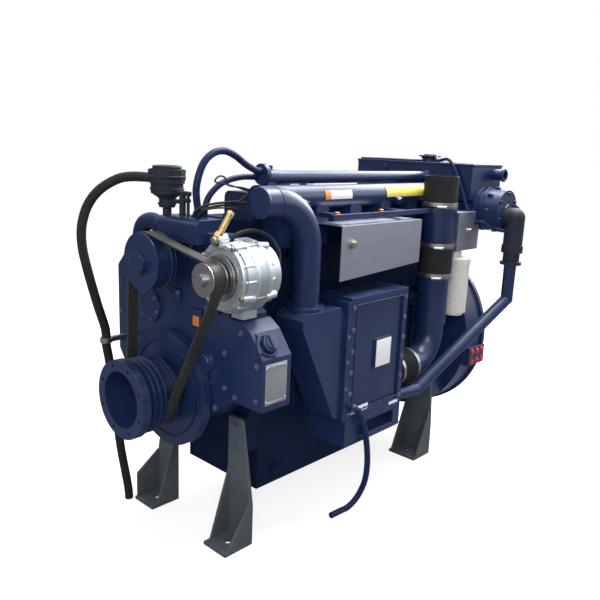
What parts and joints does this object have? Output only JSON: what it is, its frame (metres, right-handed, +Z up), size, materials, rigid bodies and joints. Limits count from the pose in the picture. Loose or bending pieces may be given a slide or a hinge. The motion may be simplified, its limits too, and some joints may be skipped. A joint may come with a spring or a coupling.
{
  "type": "marine diesel engine",
  "caption": "In-line marine diesel engine with front belt drive, side-mounted charge air cooler, sea water heat exchanger with header tank at the rear and four welded feet.",
  "frame": {"origin": "centre of the four holes in the feet, on the face that rests on the engine bed", "axes": "+X along the crankshaft towards the flywheel, +Z up, -Y towards the charge air cooler"},
  "size_m": [1.22, 0.663, 0.944],
  "materials": {
    "navy_paint": "gloss",
    "foot_paint": "satin",
    "black_rubber": "matte",
    "black_plastic": "matte",
    "cast_aluminium": "satin",
    "satin_steel": "satin",
    "machined_steel": "satin",
    "cast_iron": "matte",
    "filter_paint": "satin"
  },
  "bodies": {
    "engine": {"engine_block": "navy_paint", "cylinder_liners": "cast_iron", "main_bearing_caps": "cast_iron", "valve_gear": "machined_steel", "cylinder_heads": "navy_paint", "rocker_covers": "navy_paint", "oil_pan": "navy_paint", "gear_case": "navy_paint", "gear_cover": "navy_paint", "flywheel_housing": "navy_paint", "mounting_feet": "foot_paint", "drive_belt": "black_rubber", "water_pump": "navy_paint", "thermostat_housing": "navy_paint", "coolant_hoses": "black_rubber", "alternator_housing": "cast_aluminium", "breather": "black_plastic", "breather_hose": "black_rubber", "intake_manifold": "navy_paint", "charge_air_elbow": "navy_paint", "cooler_plenum": "navy_paint", "charge_cooler": "navy_paint", "cooler_core": "machined_steel", "cooler_stand": "navy_paint", "drain_hose": "black_rubber", "charge_pipe_upper": "navy_paint", "charge_pipe_lower": "navy_paint", "charge_air_hoses": "black_rubber", "hose_clamps": "satin_steel", "pipe_support_bar": "navy_paint", "heat_shields": "satin_steel", "raw_water_pipe": "navy_paint", "heat_exchanger": "navy_paint", "raw_water_outlet": "black_rubber", "header_tank": "navy_paint", "coolant_return_tube": "navy_paint", "oil_cooler_housing": "navy_paint", "fuel_filter": "filter_paint", "injection_pump": "navy_paint", "exhaust_manifold": "cast_iron", "turbocharger": "cast_iron", "starter_motor": "navy_paint", "fasteners": "navy_paint"},
    "crank_train": {"crankshaft": "machined_steel", "crank_pulley": "navy_paint", "vibration_damper": "navy_paint", "flywheel": "cast_iron"},
    "cam": {"camshaft": "machined_steel"},
    "idler": {"idler_gear": "machined_steel"},
    "pump_drive": {"injection_pump_gear": "machined_steel"},
    "water_pump_rotor": {"water_pump_pulley": "navy_paint"},
    "alternator_spindle": {"alternator_rotor": "machined_steel"},
    "turbo_wheel": {"turbo_rotor": "machined_steel"},
    "pistons_a": {"pistons_1_6": "cast_aluminium"},
    "pistons_b": {"pistons_2_5": "cast_aluminium"},
    "pistons_c": {"pistons_3_4": "cast_aluminium"},
    "water_tap": {"drain_valve_lever": "black_plastic"},
    "tank_cap": {"tank_filler_cap": "black_plastic"},
    "oil_cap": {"oil_filler_cap": "black_plastic"},
    "throttle": {"throttle_lever": "machined_steel"}
  },
  "joints": [
    {"name": "crank_spin", "type": "hinge", "parent": "engine", "child": "crank_train", "pos_m": [0, 0, 0.38], "axis": [1, 0, 0], "continuous": true},
    {"name": "cam_spin", "type": "hinge", "parent": "engine", "child": "cam", "pos_m": [0, -0.0955, 0.4755], "axis": [1, 0, 0], "continuous": true},
    {"name": "idler_spin", "type": "hinge", "parent": "engine", "child": "idler", "pos_m": [-0.409, 0.0675, 0.4604], "axis": [1, 0, 0], "continuous": true},
    {"name": "injection_pump_spin", "type": "hinge", "parent": "engine", "child": "pump_drive", "pos_m": [-0.409, 0.1309, 0.5964], "axis": [1, 0, 0], "continuous": true},
    {"name": "water_pump_spin", "type": "hinge", "parent": "engine", "child": "water_pump_rotor", "pos_m": [-0.5, 0, 0.688], "axis": [1, 0, 0], "continuous": true},
    {"name": "alternator_spin", "type": "hinge", "parent": "engine", "child": "alternator_spindle", "pos_m": [-0.5, -0.212, 0.682], "axis": [1, 0, 0], "continuous": true},
    {"name": "turbo_spin", "type": "hinge", "parent": "engine", "child": "turbo_wheel", "pos_m": [0.15, 0.19, 0.8], "axis": [1, 0, 0], "continuous": true},
    {"name": "piston_slide_1_6", "type": "slide", "parent": "engine", "child": "pistons_a", "axis": [0, 0, 1], "range_m": [0, 0.13]},
    {"name": "piston_slide_2_5", "type": "slide", "parent": "engine", "child": "pistons_b", "axis": [0, 0, 1], "range_m": [-0.0896, 0.0404]},
    {"name": "piston_slide_3_4", "type": "slide", "parent": "engine", "child": "pistons_c", "axis": [0, 0, 1], "range_m": [-0.0896, 0.0404]},
    {"name": "drain_valve_turn", "type": "hinge", "parent": "engine", "child": "water_tap", "pos_m": [0.568, -0.356, 0.656], "axis": [1, 0, 0], "range_deg": [-90, 0]},
    {"name": "tank_cap_turn", "type": "hinge", "parent": "engine", "child": "tank_cap", "pos_m": [0.54, -0.045, 0.93], "axis": [0, 0, 1], "range_deg": [0, 90]},
    {"name": "oil_cap_turn", "type": "hinge", "parent": "engine", "child": "oil_cap", "pos_m": [-0.397, -0.281, 0.54], "axis": [0, -0.7962, 0.6051], "range_deg": [0, 90]},
    {"name": "throttle_swing", "type": "hinge", "parent": "engine", "child": "throttle", "pos_m": [-0.15, 0.18, 0.5964], "axis": [0, 1, 0], "range_deg": [0, 35], "stiffness_Nm_per_rad": 0.4}
  ],
  "couplings": [
    {"joint": "cam_spin", "follows": "crank_spin", "ratio": -0.5},
    {"joint": "idler_spin", "follows": "crank_spin", "ratio": -0.75},
    {"joint": "injection_pump_spin", "follows": "crank_spin", "ratio": 0.5},
    {"joint": "water_pump_spin", "follows": "crank_spin", "ratio": 1.1691},
    {"joint": "alternator_spin", "follows": "crank_spin", "ratio": 2.3011}
  ]
}
